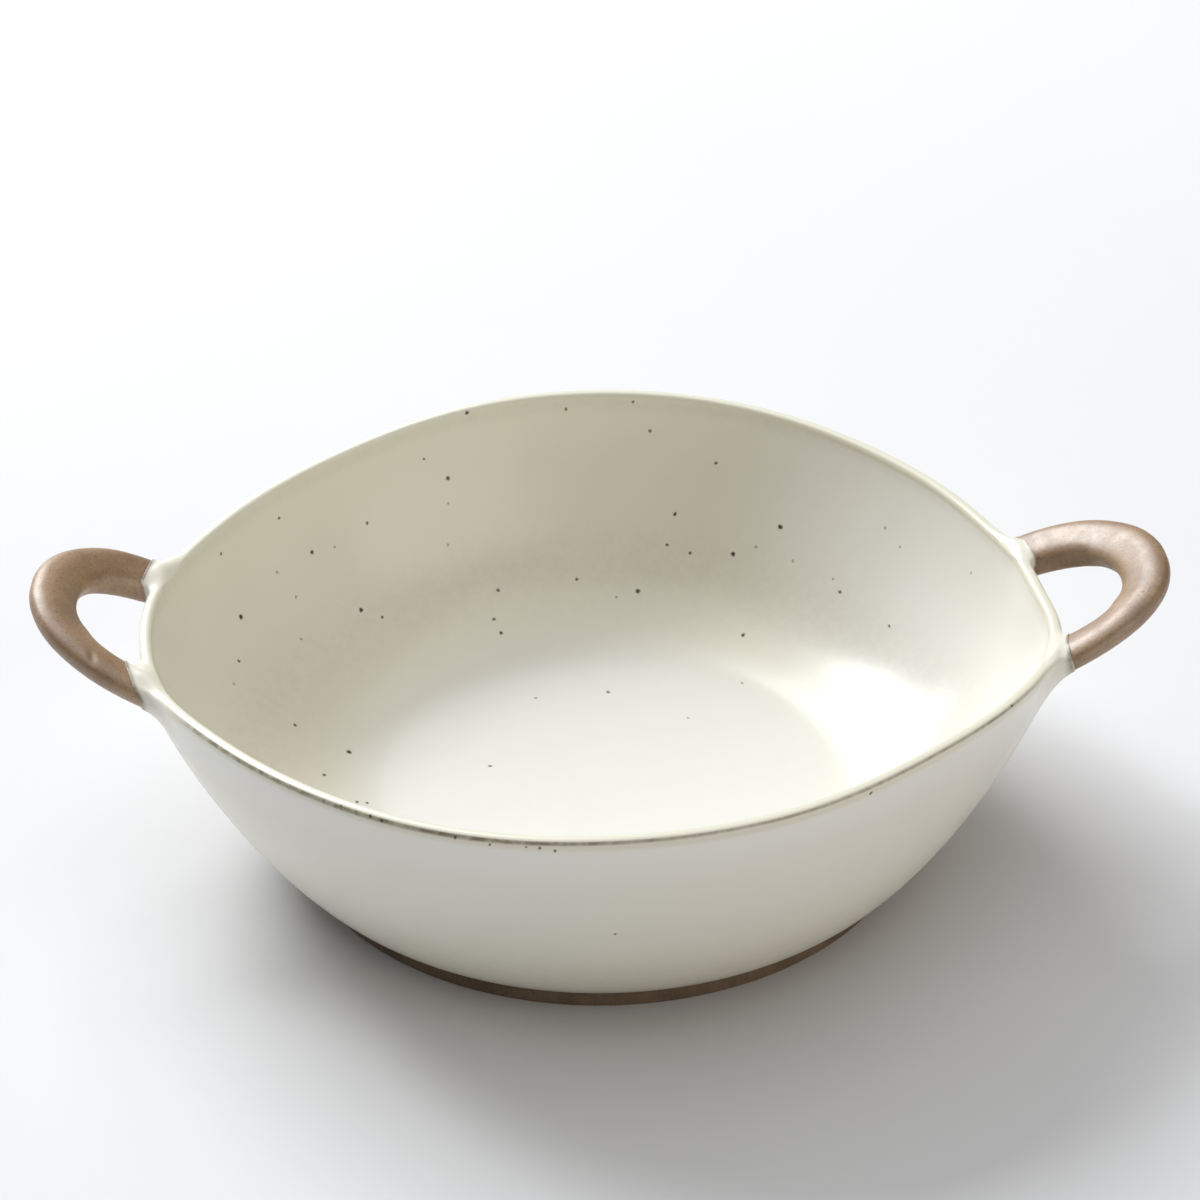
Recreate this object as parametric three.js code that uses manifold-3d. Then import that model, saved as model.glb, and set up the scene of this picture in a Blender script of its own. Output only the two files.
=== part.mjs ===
// Stoneware serving bowl with two loop handles, in millimetres, +Z up.
// The origin is the middle of the foot, on the table. X runs from handle to handle.
import * as THREE from 'three';
import { mergeVertices } from 'three/addons/utils/BufferGeometryUtils.js';
import Module from 'manifold-3d';

// Rim and wall
const RIM_LENGTH = 230;           // middle of the rim, end to end, under the handles
const RIM_WIDTH = 213.4;          // middle of the rim, front to back
const RIM_HEIGHT = 65.5;          // mean height of the lip
const RIM_SWAY = 3.1;             // the lip dips this much at the ends and rises as much at the sides
const END_POWER = 9;              // power of the cosine that draws the round wall out at its two ends
const LIP_THICKNESS = 3.4;        // wall at the lip, and the diameter of its rounding
const WALL_THICKNESS = 4.6;       // wall at mid height
const FLOOR_THICKNESS = 5.6;      // floor over the foot
const FLOOR_RADIUS = 62;          // nearly flat part of the floor inside
const FLOOR_DISH = 0.4;           // the middle of the floor is this much lower
const COVE_RUN_SHARE = 0.55;      // where the inner wall turns into the floor, part of the run to the lip
const COVE_RISE = 1;              // and its height over the floor
const BELLY_RUN_SHARE = 0.394;    // lower control of the wall curve, part of the run from foot to lip
const BELLY_RISE_SHARE = 0.08;    // and part of the rise
const SHOULDER_RUN_SHARE = 0.9;   // upper control of the wall curve
const SHOULDER_RISE_SHARE = 0.555;

// Foot ring
const FOOT_RADIUS = 80.5;
const FOOT_HEIGHT = 4;
const FOOT_WIDTH = 8;
const FOOT_EDGE = 0.9;            // rounding of the edges that meet the table

// Handles
const HANDLE_SPREAD = 25;         // half the distance between the two roots of a handle
const HANDLE_REACH = 23.3;        // from the end of the rim out to the middle of the strap at the bend
const HANDLE_RISE = 9.1;          // middle of the strap at the bend over the lip at that end
const ROOT_DROP = 5.3;            // where the middle line starts inside the wall, under the lip there
const ROOT_INSET = 6;             // and in from the end of the rim
const ARM_LENGTH = 29.5;          // pull of the curve along each arm
const ARM_RISE = 25.7;            // degrees that an arm rises as it leaves the wall
const ARM_TOE = 2.5;              // degrees that the two arms close towards each other
const BEND_LENGTH = 6.4;          // pull of the curve at the bend
const STRAP_WIDTH = 12.8;         // section across the loop
const STRAP_THICKNESS = 7.8;      // section through the loop
const STRAP_TILT = 42;            // degrees that the loop leans up

// Root collars
const COLLAR_LENGTH = 4;          // glazed length of the strap outside the wall
const COLLAR_DEPTH = 3;           // the collar is drawn from this far inside the wall, then cut by it
const COLLAR_SIDE = 7;            // growth of the collar's half width at that depth
const COLLAR_UP = 0.6;            // growth upward, kept low because the lip is there
const COLLAR_DOWN = 7;            // growth down the wall
const COLLAR_POWER = 2.3;         // power of the growth along the collar
const ROOT_BLEND_SHARE = 0.4;     // part of an arm over which its section turns from the wall's line

const JOINT_GAP = 0.3;            // between pieces that touch

// Number of flats
const AROUND = 96;
const WALL_STEPS = 9;
const LIP_STEPS = 5;
const STRAP_AROUND = 20;
const STRAP_STEPS = 40;
const ROOT_STEPS = 8;

const glaze = new THREE.MeshStandardMaterial({ color: 0xe6e2d3, roughness: 0.34, metalness: 0 });
const clay = new THREE.MeshStandardMaterial({ color: 0x9b7f68, roughness: 0.62, metalness: 0 });
const footClay = new THREE.MeshStandardMaterial({ color: 0x6d5a45, roughness: 0.8, metalness: 0 });

const wasm = await Module();
wasm.setup();

const halfWidth = RIM_WIDTH / 2;
const halfLength = RIM_LENGTH / 2;
const lipRadius = LIP_THICKNESS / 2;
const lipCentre = RIM_HEIGHT - lipRadius;
const floorTop = FOOT_HEIGHT + FLOOR_THICKNESS;
const endHeight = RIM_HEIGHT - RIM_SWAY;

// The wall is turned round, then drawn out at both ends in step with its height.
function drawOut(geometry) {
  const place = geometry.attributes.position;
  for (let i = 0; i < place.count; i += 1) {
    const x = place.getX(i);
    const y = place.getY(i);
    const z = place.getZ(i);
    const radius = Math.hypot(x, y);
    const cosine = radius > 0 ? x / radius : 0;
    const up = THREE.MathUtils.clamp((z - FOOT_HEIGHT) / (RIM_HEIGHT - FOOT_HEIGHT), 0, 1);
    const share = 1 - (1 - up) ** 2;
    const pull = (halfLength - halfWidth) * Math.abs(cosine) ** END_POWER * share;
    const scale = radius > 0 ? 1 + pull / radius : 1;
    const sway = -RIM_SWAY * (2 * cosine * cosine - 1) * up;
    place.setXYZ(i, x * scale, y * scale, z + (radius > 0 ? sway : 0));
  }
  geometry.computeVertexNormals();
  return geometry;
}

// A lathe turns about Y, so its result is stood up to turn about Z.
function turn(points) {
  return new THREE.LatheGeometry(points, AROUND).rotateX(Math.PI / 2);
}

function curve(start, startPull, endPull, end, steps) {
  return new THREE.CubicBezierCurve(start, startPull, endPull, end).getPoints(steps);
}

function point(radius, height) {
  return new THREE.Vector2(radius, height);
}

// Outer side of the wall from the foot up to the lip, moved out by a clearance.
function outerWall(clearance) {
  const run = halfWidth + lipRadius - FOOT_RADIUS;
  const rise = lipCentre - FOOT_HEIGHT;
  return curve(
    point(FOOT_RADIUS + clearance, FOOT_HEIGHT),
    point(FOOT_RADIUS + clearance + BELLY_RUN_SHARE * run, FOOT_HEIGHT + BELLY_RISE_SHARE * rise),
    point(FOOT_RADIUS + clearance + SHOULDER_RUN_SHARE * run, FOOT_HEIGHT + SHOULDER_RISE_SHARE * rise),
    point(FOOT_RADIUS + clearance + run, lipCentre),
    WALL_STEPS,
  );
}

function bowlBody() {
  const lip = new THREE.EllipseCurve(halfWidth, lipCentre, lipRadius, lipRadius, 0, Math.PI, false);
  const shoulder = halfWidth + lipRadius + (SHOULDER_RUN_SHARE - 1) * (halfWidth + lipRadius - FOOT_RADIUS);
  const inner = curve(
    point(halfWidth - lipRadius, lipCentre),
    point(shoulder - WALL_THICKNESS, FOOT_HEIGHT + SHOULDER_RISE_SHARE * (lipCentre - FOOT_HEIGHT)),
    point(FLOOR_RADIUS + COVE_RUN_SHARE * (halfWidth - FLOOR_RADIUS), floorTop + COVE_RISE),
    point(FLOOR_RADIUS, floorTop),
    WALL_STEPS + 2,
  );
  const profile = [
    point(0, FOOT_HEIGHT),
    ...outerWall(0),
    ...lip.getPoints(LIP_STEPS).slice(1),
    ...inner.slice(1),
    point(FLOOR_RADIUS / 2, floorTop - FLOOR_DISH * 0.75),
    point(0, floorTop - FLOOR_DISH),
  ];
  return drawOut(turn(profile));
}

// What the collars must stay out of: the bowl filled to above its lip, one clearance larger.
function keepOut() {
  const side = outerWall(JOINT_GAP);
  const brim = side[side.length - 1];
  const above = 2 * RIM_HEIGHT;
  const profile = [point(0, FOOT_HEIGHT), ...side, point(brim.x, above), point(0, above)];
  return drawOut(turn(profile));
}

function footRing() {
  const outside = FOOT_RADIUS;
  const inside = FOOT_RADIUS - FOOT_WIDTH;
  const top = FOOT_HEIGHT - JOINT_GAP;
  const profile = [
    point(inside + FOOT_EDGE, 0),
    point(outside - FOOT_EDGE, 0),
    point(outside - FOOT_EDGE * 0.3, FOOT_EDGE * 0.3),
    point(outside, FOOT_EDGE),
    point(outside, top),
    point(inside, top),
    point(inside, FOOT_EDGE),
    point(inside + FOOT_EDGE * 0.3, FOOT_EDGE * 0.3),
    point(inside + FOOT_EDGE, 0),
  ];
  return turn(profile);
}

// Radius of the outer wall at a height, in the direction of a point.
function wallRadius(at) {
  const cosine = at.x / Math.hypot(at.x, at.y);
  const tall = RIM_HEIGHT - FOOT_HEIGHT;
  const lip = tall - RIM_SWAY * (2 * cosine * cosine - 1);
  const up = THREE.MathUtils.clamp((at.z - FOOT_HEIGHT) / lip, 0, 1);
  const side = outerWall(0);
  const height = Math.min(FOOT_HEIGHT + up * tall, lipCentre);
  const k = Math.max(1, side.findIndex((p) => p.y >= height - 1e-9));
  const share = (height - side[k - 1].y) / (side[k].y - side[k - 1].y);
  const pull = (halfLength - halfWidth) * Math.abs(cosine) ** END_POWER * (1 - (1 - up) ** 2);
  return THREE.MathUtils.lerp(side[k - 1].x, side[k].x, share) + pull;
}

// Middle line of one arm of the strap, from inside the wall (0) to the bend (1).
const rise = THREE.MathUtils.degToRad(ARM_RISE);
const toe = THREE.MathUtils.degToRad(ARM_TOE);
const leave = new THREE.Vector3(Math.cos(toe), -Math.sin(toe), Math.tan(rise)).normalize();
const armStart = new THREE.Vector3(halfLength - ROOT_INSET, HANDLE_SPREAD, endHeight - ROOT_DROP);
const armEnd = new THREE.Vector3(halfLength + HANDLE_REACH, 0, endHeight + HANDLE_RISE);
const arm = new THREE.CubicBezierCurve3(
  armStart,
  armStart.clone().addScaledVector(leave, ARM_LENGTH),
  armEnd.clone().add(new THREE.Vector3(0, BEND_LENGTH, 0)),
  armEnd,
);

// Place on the arm where it comes out of the wall, found by halving.
let inside = 0;
let outside = 0.5;
for (let i = 0; i < 40; i += 1) {
  const trial = (inside + outside) / 2;
  const at = arm.getPoint(trial);
  if (Math.hypot(at.x, at.y) < wallRadius(at)) inside = trial;
  else outside = trial;
}
const atWall = inside;
const speed = arm.getPoint(atWall + 0.01).distanceTo(arm.getPoint(atWall)) / 0.01;
const collarEnd = atWall + COLLAR_LENGTH / speed;
const collarStart = atWall - COLLAR_DEPTH / speed;
const halfGap = JOINT_GAP / 2 / speed;

// Level direction along the wall at that place.
function wallPoint(angle, height) {
  const at = new THREE.Vector3(Math.cos(angle), Math.sin(angle), height);
  const radius = wallRadius(at);
  return new THREE.Vector3(at.x * radius, at.y * radius, 0);
}
const exit = arm.getPoint(atWall);
const exitAngle = Math.atan2(exit.y, exit.x);
const wallAhead = wallPoint(exitAngle + 0.02, exit.z);
const wallBehind = wallPoint(exitAngle - 0.02, exit.z);
const wallAlong = wallAhead.sub(wallBehind).normalize();

// The whole loop runs from the rear arm (0) over the bend (1) to the front arm (2).
function strapFrame(place) {
  const front = place > 1;
  const on = front ? 2 - place : place;
  const middle = arm.getPoint(on);
  const ahead = arm.getTangent(on);
  if (front) {
    middle.y = -middle.y;
    ahead.set(-ahead.x, ahead.y, -ahead.z);
  }
  const tilt = THREE.MathUtils.degToRad(STRAP_TILT);
  const lean = new THREE.Vector3(-Math.sin(tilt), 0, Math.cos(tilt));
  const through = lean.addScaledVector(ahead, -lean.dot(ahead)).normalize();
  const across = new THREE.Vector3().crossVectors(ahead, through);
  // Near the wall the sections lie along it, so that the glaze ends in a line beside the wall.
  const rooted = 1 - THREE.MathUtils.smoothstep(on, collarEnd, collarEnd + ROOT_BLEND_SHARE);
  const upright = new THREE.Vector3(0, 0, 1 / through.z);
  const along = new THREE.Vector3(front ? -wallAlong.x : wallAlong.x, wallAlong.y, 0);
  through.lerp(upright, rooted);
  across.lerp(along.divideScalar(along.dot(across)), rooted);
  return { middle, across, through };
}

// A cylinder bent along the loop, from one place on it to another, with an oval section.
function strap(from, to, steps, growth) {
  const rod = new THREE.CylinderGeometry(1, 1, 1, STRAP_AROUND, steps);
  const place = rod.attributes.position;
  for (let i = 0; i < place.count; i += 1) {
    const share = place.getY(i) + 0.5;
    const { middle, across, through } = strapFrame(from + (to - from) * share);
    const grown = growth(share);
    const face = place.getZ(i);
    const side = place.getX(i) * (STRAP_WIDTH / 2 + grown * COLLAR_SIDE);
    const deep = face * (STRAP_THICKNESS / 2 + grown * (face < 0 ? COLLAR_DOWN : COLLAR_UP));
    middle.addScaledVector(across, side).addScaledVector(through, deep);
    place.setXYZ(i, middle.x, middle.y, middle.z);
  }
  rod.computeVertexNormals();
  return rod;
}

function solid(geometry) {
  const bare = geometry.clone();
  for (const name of Object.keys(bare.attributes)) {
    if (name !== 'position') bare.deleteAttribute(name);
  }
  const joined = mergeVertices(bare, 1e-4);
  const vertProperties = new Float32Array(joined.attributes.position.array);
  const triVerts = new Uint32Array(joined.index.array);
  return new wasm.Manifold(new wasm.Mesh({ numProp: 3, vertProperties, triVerts }));
}

function fromSolid(manifold) {
  const mesh = manifold.getMesh();
  const geometry = new THREE.BufferGeometry();
  geometry.setAttribute('position', new THREE.BufferAttribute(mesh.vertProperties, 3));
  geometry.setIndex(new THREE.BufferAttribute(mesh.triVerts, 1));
  geometry.computeVertexNormals();
  return geometry;
}

const bowlSolid = solid(keepOut());

// The collar swells towards the wall and is cut to it.
function rootCollar(front) {
  const near = collarStart;
  const far = collarEnd - halfGap;
  const swell = (share) => (1 - share) ** COLLAR_POWER;
  const blank = front
    ? strap(2 - far, 2 - near, ROOT_STEPS, (share) => swell(1 - share))
    : strap(near, far, ROOT_STEPS, swell);
  return fromSolid(solid(blank).subtract(bowlSolid));
}

function named(name, geometry, material) {
  const mesh = new THREE.Mesh(geometry, material);
  mesh.name = name;
  return mesh;
}

function handleSet(handleName, rearName, frontName) {
  const set = new THREE.Group();
  const near = collarEnd + halfGap;
  const loop = strap(near, 2 - near, STRAP_STEPS, () => 0);
  set.add(named(handleName, loop, clay));
  set.add(named(rearName, rootCollar(false), glaze));
  set.add(named(frontName, rootCollar(true), glaze));
  return set;
}

const handledBowl = new THREE.Group();
handledBowl.add(named('bowl_body', bowlBody(), glaze));
handledBowl.add(named('foot_ring', footRing(), footClay));
handledBowl.add(handleSet('right_handle', 'right_rear_root', 'right_front_root'));

// The left set is the same one turned half round, so its rear and front change places.
const leftSet = handleSet('left_handle', 'left_front_root', 'left_rear_root');
leftSet.rotation.z = Math.PI;
handledBowl.add(leftSet);

export default handledBowl;
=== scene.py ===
"""Speckled stoneware serving bowl with two loop handles: its looks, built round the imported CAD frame.

The file is laid out as an add-on and is run as a script. Lengths are in metres, +Z is up, +X runs to
the right handle, and the origin is the middle of the foot, on the table.
"""

import math
from typing import NamedTuple

import bpy
import numpy as np
from bpy.props import FloatProperty, FloatVectorProperty, PointerProperty
from mathutils import Matrix, Vector


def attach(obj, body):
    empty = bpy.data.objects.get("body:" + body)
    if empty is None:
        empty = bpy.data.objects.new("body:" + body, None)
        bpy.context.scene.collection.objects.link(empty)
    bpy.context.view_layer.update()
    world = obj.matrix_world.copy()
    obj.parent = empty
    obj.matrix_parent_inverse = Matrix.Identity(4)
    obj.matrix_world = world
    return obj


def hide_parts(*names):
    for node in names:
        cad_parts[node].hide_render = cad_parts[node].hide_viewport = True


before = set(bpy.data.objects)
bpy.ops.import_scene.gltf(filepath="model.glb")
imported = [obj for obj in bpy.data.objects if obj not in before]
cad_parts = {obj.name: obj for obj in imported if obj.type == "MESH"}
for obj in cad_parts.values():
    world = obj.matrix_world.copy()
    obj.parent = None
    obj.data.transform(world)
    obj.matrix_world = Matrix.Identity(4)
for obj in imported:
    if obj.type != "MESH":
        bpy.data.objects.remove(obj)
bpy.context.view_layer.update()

bl_info = {
    "name": "Handled Bowl",
    "version": (1, 0, 0),
    "blender": (4, 5, 0),
    "location": "View3D > Sidebar > Bowl",
    "description": "Speckled stoneware bowl with two loop handles of bare clay",
    "category": "Object",
}

MM = 0.001
IMAGE_SIDE = 1200
SENSOR_MM = 36.0
TABLE_SIDE = 8.0
BODY = "root"
UP = np.array([0.0, 0.0, 1.0])
LEVEL = np.array([1.0, 1.0, 0.0])
FRONT_TO_REAR = np.array([1.0, -1.0, 1.0])
END_TO_END = np.array([-1.0, -1.0, 1.0])

# Grid of the pieces: steps round each piece and along its profile or path
BODY_COLUMNS = 360
UNDERSIDE_ROWS = 8
WALL_ROWS = 84
LIP_ROWS = 26
INSIDE_ROWS = 92
FLOOR_ROWS = 22
FOOT_COLUMNS = 288
STRAP_COLUMNS = 88
STRAP_ROWS = 220
ROOT_COLUMNS = 120
ROOT_ROWS = 46

# Places of the iron specks, as pixels of the 1200 x 1200 view, from the boldest to the faintest
SPECKS_BOLD = (
    (467, 413), (448, 478), (312, 552), (241, 617), (361, 610), (501, 633),
    (638, 591), (743, 635), (780, 527), (733, 554), (675, 514), (349, 752),
)
SPECKS_PLAIN = (
    (424, 459), (367, 523), (382, 617), (498, 590), (577, 579), (633, 402), (650, 431), (716, 463),
    (840, 592), (889, 626), (536, 698), (295, 725), (239, 661), (279, 518), (221, 554), (566, 409),
    (494, 619), (690, 553), (667, 545), (324, 775), (490, 766), (608, 692), (357, 802), (367, 803),
)
SPECKS_FAINT = (
    (448, 503), (448, 545), (335, 547), (277, 572), (296, 597), (301, 639), (234, 684), (616, 597),
    (756, 547), (793, 561), (833, 579), (885, 528), (900, 547), (971, 573), (742, 683), (688, 718),
)
SPECKS_LIP = (
    (341, 806), (370, 816), (382, 821), (455, 837), (490, 845), (526, 847), (540, 848),
    (555, 851), (871, 793), (1012, 706), (1050, 661),
)
SPECKS_OUTSIDE = ((145, 692), (615, 934))

# Soft pushes that leave rim and handles a little lopsided: place, reach and shift, in millimetres
PUSHES = (
    ((106, 30, 62), 22, (-1.6, -0.3, -1.0)),
    ((114, 4, 62), 15, (-2.4, 0.0, 0.0)),
    ((110, -25, 62), 22, (0.5, -0.5, -0.7)),
    ((75, -80, 66), 35, (0.0, 1.3, 1.9)),
    ((-25, -104, 68), 45, (-1.8, 0.0, -0.8)),
    ((-75, -80, 66), 35, (-0.9, 0.3, 0.6)),
    ((-110, -26, 62), 22, (0.1, -1.2, -2.0)),
    ((-108, 26, 62), 22, (-1.3, -0.7, -1.0)),
    ((-70, 82, 66), 35, (-2.6, -1.1, -1.9)),
    ((30, 104, 68), 45, (1.5, -0.1, -0.1)),
    ((138, 0, 74), 24, (0.3, -2.7, -0.7)),
    ((-138, 0, 74), 24, (0.3, 0.1, -0.7)),
)

# Dents in the left handle: place along the strap, angle round it, width and depth in millimetres
DENTS_LEFT = ((0.28, 0.72 * math.pi, 1.5, 0.45),)

# Square lights: what each is, its direction from the right round to the back and its height over the table
# in degrees, its side in metres and its power in watts
LIGHTS = {
    "window": ("window light", 139.0, 43.0, 1.0, 52.0),
    "ceiling": ("ceiling light", 90.0, 80.0, 5.2, 98.0),
    "back": ("wide window light at the back", 118.0, 36.0, 2.7, 192.0),
    "left": ("light at the left", 165.0, 20.0, 2.25, 14.0),
    "fill": ("warm fill light", -45.0, 18.0, 4.2, 76.0),
}


def length(name, description, default):
    """A size in metres."""
    return FloatProperty(name=name, description=description, default=default, unit="LENGTH", precision=4)


def angle(name, description, degrees):
    """An angle, written here in degrees."""
    return FloatProperty(name=name, description=description, default=math.radians(degrees), subtype="ANGLE")


def share(name, description, default):
    """A plain number, such as a part of a whole or a power."""
    return FloatProperty(name=name, description=description, default=default, subtype="FACTOR")


def colour(name, description, default):
    """A colour in linear light."""
    return FloatVectorProperty(
        name=name, description=description, default=default, subtype="COLOR", size=3, min=0.0, max=1.0
    )


class WallSizes(bpy.types.PropertyGroup):
    """Sizes of the bowl's wall, floor and foot."""

    rim_length: length("Rim length", "Middle of the rim from end to end, under the handles", 0.2302)
    rim_width: length("Rim width", "Middle of the rim from front to back", 0.2136)
    rim_height: length("Rim height", "Mean height of the lip over the table", 0.06675)
    rim_sway: length("Rim sway", "Dip of the lip at the two ends, and its rise at the sides", 0.0031)
    end_power: share("End power", "Power of the cosine that draws the wall out at its ends", 9.0)
    lip_thickness: length("Lip thickness", "Wall at the lip", 0.0032)
    lip_power: share("Lip power", "Squareness of the lip's section", 2.4)
    wall_thickness: length("Wall thickness", "Wall at mid height", 0.0046)
    floor_thickness: length("Floor thickness", "Floor over the foot", 0.0056)
    floor_radius: length("Floor radius", "Nearly flat part of the floor", 0.056)
    floor_dish: length("Floor dish", "Depth of the floor's middle under its edge", 0.0006)
    cove_run: share("Cove run", "Lower control of the inner wall's curve, part of the run", 0.54)
    belly_run: share("Belly run", "Lower control of the wall's curve, part of the run", 0.394)
    belly_rise: share("Belly rise", "Lower control of the wall's curve, part of the rise", 0.08)
    shoulder_run: share("Shoulder run", "Upper control of the wall's curve, part of the run", 0.9)
    shoulder_rise: share("Shoulder rise", "Upper control of the wall's curve, part of the rise", 0.555)
    foot_radius: length("Foot radius", "Outside of the foot ring", 0.0813)
    foot_height: length("Foot height", "Height of the bare foot ring", 0.0046)
    foot_width: length("Foot width", "Width of the foot ring", 0.008)
    foot_edge: length("Foot edge", "Rounding of the foot ring's edges", 0.0005)
    glaze_roll: length("Glaze roll", "Rounding of the glaze where it ends over the foot", 0.0005)


class HandleSizes(bpy.types.PropertyGroup):
    """Sizes of the loop handles and of the roots that join them to the wall."""

    spread: length("Spread", "Half the distance between the two roots of a handle", 0.025)
    reach: length("Reach", "From the end of the rim out to the middle of the bend", 0.0227)
    rise: length("Rise", "Middle of the bend over the lip at that end", 0.0084)
    root_drop: length("Root drop", "Start of the middle line under the lip", 0.0053)
    root_inset: length("Root inset", "Start of the middle line in from the end of the rim", 0.006)
    arm_length: length("Arm length", "Pull of the curve along each arm", 0.0295)
    arm_rise: angle("Arm rise", "Rise of an arm as it leaves the wall", 25.7)
    arm_toe: angle("Arm toe", "Closing of the two arms towards each other", 2.5)
    bend_length: length("Bend length", "Pull of the curve at the bend", 0.0064)
    strap_width: length("Strap width", "Section across the loop", 0.0128)
    strap_thickness: length("Strap thickness", "Section through the loop", 0.0078)
    strap_tilt: angle("Strap tilt", "Lean of the loop", 42.0)
    inner_power: share("Inner power", "Squareness of the section on the side of the finger gap", 3.0)
    outer_power: share("Outer power", "Squareness of the section on the outer side", 2.05)
    root_blend: share("Root blend", "Part of an arm over which its section turns from the wall's line", 0.4)
    root_inner: length("Root flare, inner", "Flare of a root along the wall, towards the gap", 0.0045)
    root_outer: length("Root flare, outer", "Flare of a root along the wall, away from the gap", 0.011)
    root_down: length("Root flare, down", "Flare of a root down the wall", 0.019)
    root_up: length("Root flare, up", "How far a root runs in over the top of the lip", 0.0014)
    glaze_thickness: length("Glaze thickness", "How proud of the clay the glaze ends on a handle", 0.00022)


class GlazeCoat(bpy.types.PropertyGroup):
    """Where the glaze lies thin, and where painted light and shade go into its colour."""

    line_width: length("Lip line", "Width of the thin line under the lip, at the right", 0.00075)
    line_more: length("Lip line, left", "How much wider that line is at the left", 0.0006)
    line_end: length("Lip line, end", "Where that line ends, from the middle towards a handle", 0.11)
    line_fade: length("Lip line, fade", "Length over which that line fades out", 0.018)
    lip_haze: share("Lip haze", "Thinning just inside the lip", 0.1)
    lip_haze_width: length("Lip haze width", "Width of the haze inside the lip", 0.0018)
    # Painted shade: a darker band low on the inner wall, all round, for the shade over the cove.
    cove_painted_shade: share("Cove haze", "Thinning low on the inner wall", 0.11)
    cove_painted_shade_height: length("Cove haze height", "Height of that haze over the table", 0.024)
    cove_painted_shade_width: length("Cove haze width", "Width of that haze", 0.009)
    # Painted shade: the outer wall darkens towards the foot, for the shade of the table's shadow there.
    foot_painted_shade: share("Foot haze", "Thinning low on the outer wall", 0.12)
    # Painted light: whiter glaze growing up the outer wall and under the lip, for the brighter upper wall.
    foot_painted_light: share("Thick glaze, foot", "Share of thick glaze on the outer wall, at the foot", 0.1)
    wall_painted_light: share("Thick glaze, wall", "How much that share grows up the wall", 0.45)
    lip_painted_light: share("Thick glaze, lip", "How much that share grows under the lip", 0.35)
    # Painted light: whiter glaze on the inner wall at the right, where the light from the left falls.
    right_painted_light: share("White glaze, right", "Share of whiter glaze inside, at the right", 0.8)
    # Painted light: a whiter, less yellow tone over the floor, for the washed-out look of the lit floor.
    painted_light_floor_radius: length("Pool radius", "Edge of the glaze that has pooled on the floor", 0.076)
    painted_light_floor_fade: length("Pool fade", "Width over which that pool fades out", 0.026)


class Finishes(bpy.types.PropertyGroup):
    """Colours of the glaze, the bare clay and the stage."""

    glaze: colour("Glaze", "Cream of the satin glaze", (0.795, 0.764, 0.638))
    glaze_cloud: colour("Glaze, cloud", "Soft clouds in the glaze", (0.783, 0.752, 0.625))
    # Painted light: the whiter, less yellow tone laid over the floor and the inner wall at the right.
    glaze_painted_light_neutral: colour("Glaze, pooled", "Where the glaze has pooled on the floor", (0.8, 0.785, 0.737))
    # Painted light: whiter glaze laid up the outer wall, under the lip, high inside at the right and on the
    # roots.
    glaze_painted_light_white: colour("Glaze, thick", "Where the glaze lies thick", (0.88, 0.86, 0.805))
    # Colour of thin glaze at edges, also used as painted shade low on the inner and outer walls.
    glaze_thin_and_painted_shade: colour("Glaze, thin", "Where the glaze breaks over the clay at edges", (0.2, 0.165, 0.1))
    speck: colour("Iron speck", "Specks that burn through the glaze", (0.045, 0.035, 0.022))
    clay: colour("Handle clay", "Bare burnished clay of the handles", (0.375, 0.232, 0.124))
    clay_dark: colour("Handle clay, dark", "Toasted patches of that clay", (0.255, 0.152, 0.077))
    clay_grain: colour("Clay grain", "Fine dark grain in the clay", (0.10, 0.065, 0.04))
    foot: colour("Foot clay", "Bare dry clay of the foot", (0.19, 0.13, 0.08))
    foot_dark: colour("Foot clay, dark", "Darker patches of the foot", (0.135, 0.092, 0.055))
    table: colour("Table", "Pale table", (0.75, 0.75, 0.763))


class StageSizes(bpy.types.PropertyGroup):
    """Camera and lights."""

    camera_turn: angle("Camera turn", "Turn of the camera about the bowl", -1.86)
    camera_tilt: angle("Camera tilt", "Angle that the camera looks down", 31.5)
    camera_roll: angle("Camera roll", "Roll of the camera", -0.75)
    camera_distance: length("Camera distance", "From the camera to the aim point along its view", 0.71277)
    camera_rise: length("Camera rise", "Camera over the line to the aim point", 0.02136)
    camera_side: length("Camera side", "Camera to the right of the line to the aim point", -0.00039)
    aim_height: length("Aim height", "Height of the aim point over the table", 0.04)
    lens: share("Lens", "Focal length in millimetres on a 36 mm sensor", 82.735)
    light_distance: length("Light distance", "From the bowl to each of the lights", 4.5)
    daylight: colour("Daylight", "Tint of all lights but the fill light", (0.965, 0.985, 1.0))
    warm_light: colour("Warm light", "Tint of the fill light", (1.0, 0.94, 0.85))
    room_tint: colour("Room tint", "Tint of the light from all round", (0.96, 0.98, 1.0))
    room_light: share("Room light", "Strength of the light from all round", 0.105)
    backdrop: colour("Backdrop", "Pale room behind the table, as the camera sees it", (0.9, 0.91, 0.93))


def light_values(light, what, turn, height, side, power):
    """The four values of a light, by their names."""
    title = light.capitalize()
    return {
        f"{light}_turn": angle(f"{title} turn", f"Direction of the {what}", turn),
        f"{light}_height": angle(f"{title} height", f"Height of the {what} over the table", height),
        f"{light}_side": length(f"{title} side", f"Side of the {what}", side),
        f"{light}_power": share(f"{title} power", f"Power of the {what} in watts", power),
    }


for light, values in LIGHTS.items():
    StageSizes.__annotations__.update(light_values(light, *values))


class HandledBowl(bpy.types.PropertyGroup):
    """All values of the bowl."""

    wall: PointerProperty(type=WallSizes)
    handle: PointerProperty(type=HandleSizes)
    coat: PointerProperty(type=GlazeCoat)
    finish: PointerProperty(type=Finishes)
    stage: PointerProperty(type=StageSizes)


# Shapes


def smooth(value, low, high):
    """Smooth step: 0 up to low, 1 from high, and 3t^2 - 2t^3 between them."""
    t = np.clip((value - low) / (high - low), 0.0, 1.0)
    return t * t * (3.0 - 2.0 * t)


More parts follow.
